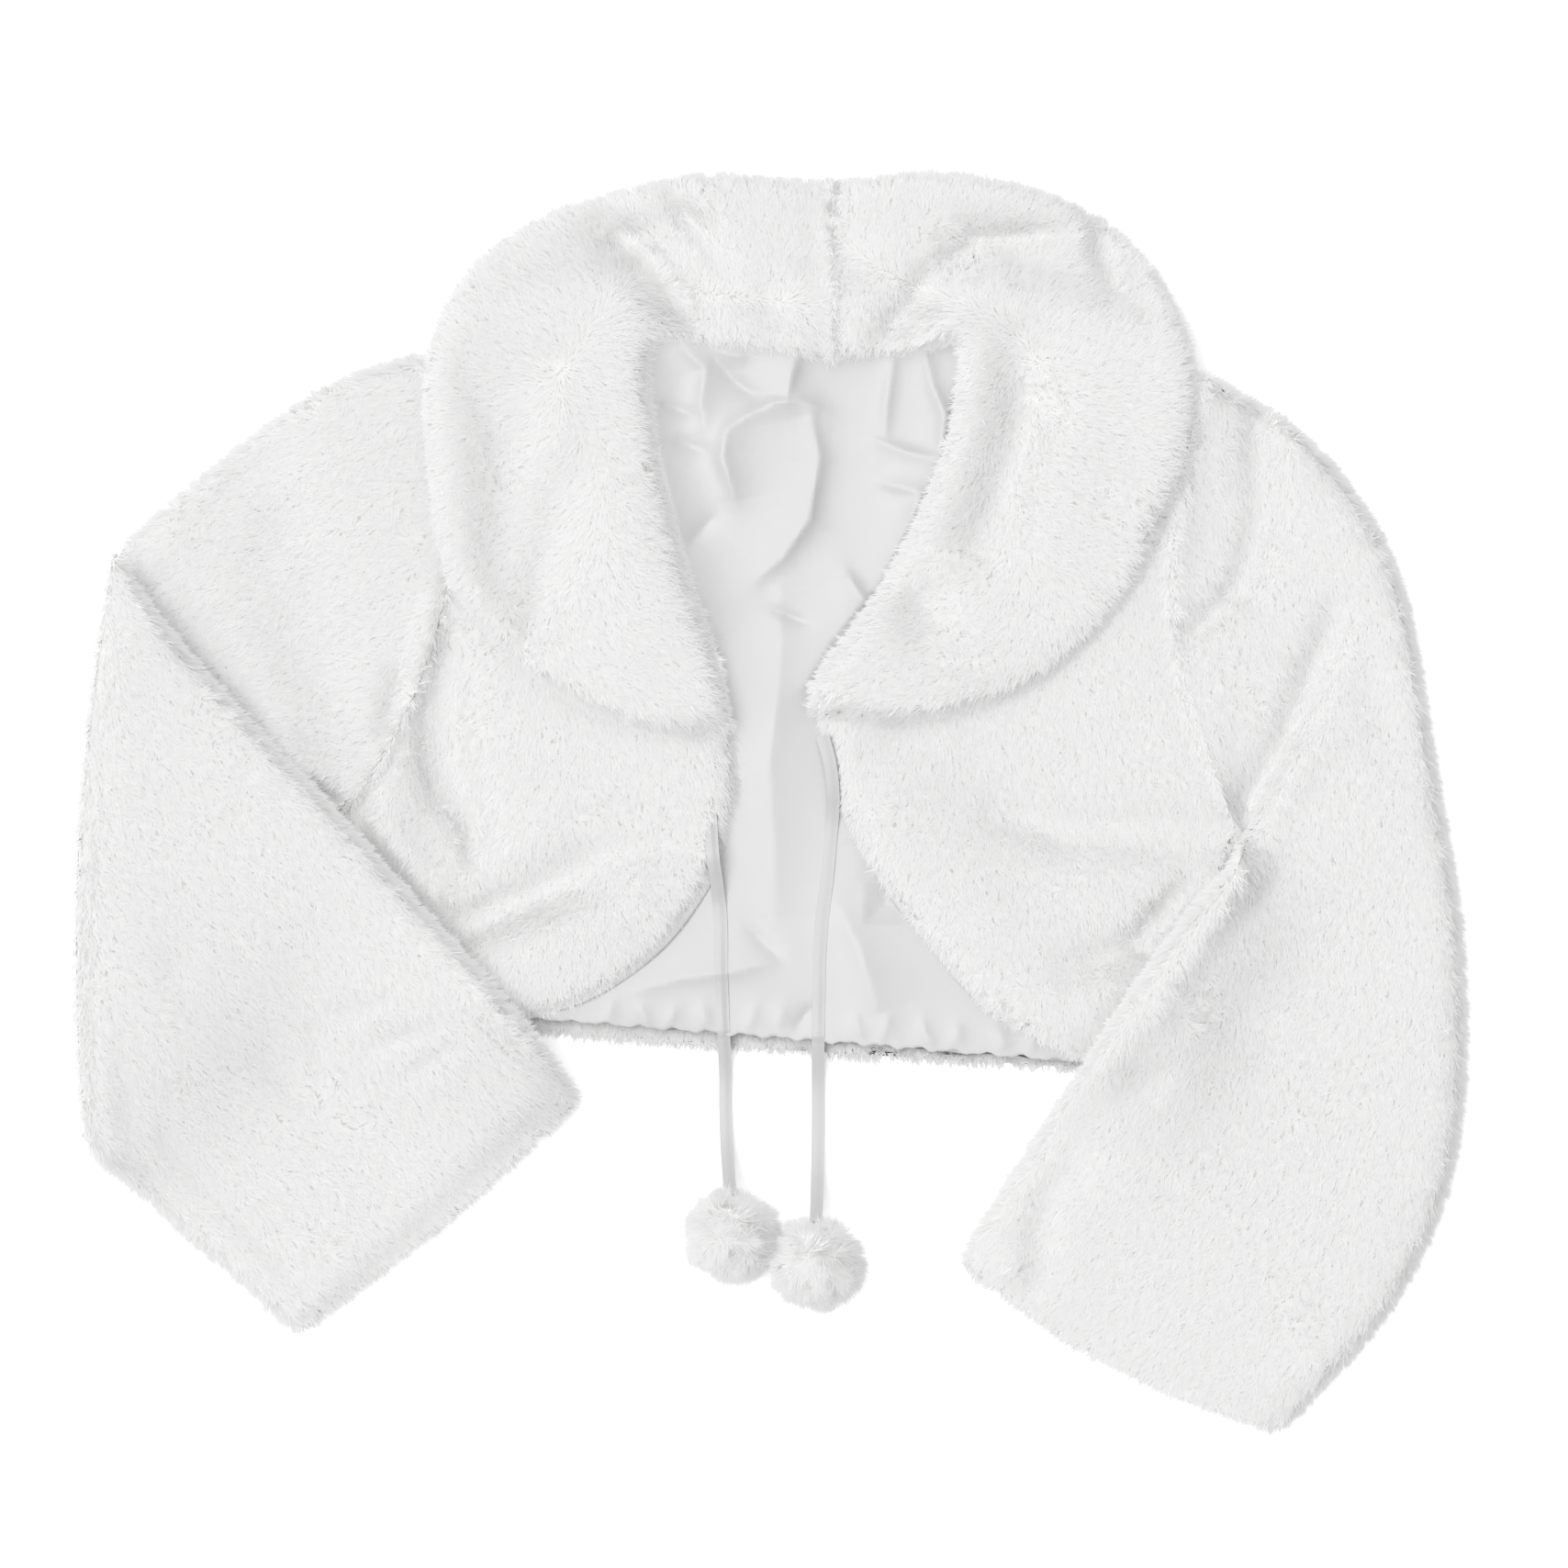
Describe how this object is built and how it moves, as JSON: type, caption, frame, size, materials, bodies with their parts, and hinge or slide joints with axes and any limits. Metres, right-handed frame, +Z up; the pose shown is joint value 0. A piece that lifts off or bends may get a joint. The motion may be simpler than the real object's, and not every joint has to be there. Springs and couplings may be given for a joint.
{
  "type": "fur bolero jacket",
  "caption": "Short plush fur bolero laid flat, with long sleeves, a wide shawl collar, a satin lining and ribbon ties that end in fur pompoms.",
  "frame": {"origin": "middle of the laid-out cloth, on the surface it lies on", "axes": "+X across the garment from the folded sleeve to the straight one, +Y towards the collar, +Z up from the surface"},
  "size_m": [0.6819, 0.6165, 0.0421],
  "materials": {
    "white_fur": "short dense white plush pile, matt",
    "white_satin": "white satin with a soft sheen"
  },
  "bodies": {
    "root": {"back_panel": "white_fur", "back_lining": "white_satin", "left_front": "white_fur", "right_front": "white_fur", "left_front_lining": "white_satin", "right_front_lining": "white_satin", "left_collar": "white_fur", "right_collar": "white_fur", "left_sleeve_upper": "white_fur", "left_sleeve_lower": "white_fur", "right_sleeve": "white_fur", "left_tie": "white_satin", "right_tie": "white_satin", "left_pompom": "white_fur", "right_pompom": "white_fur"}
  },
  "joints": []
}
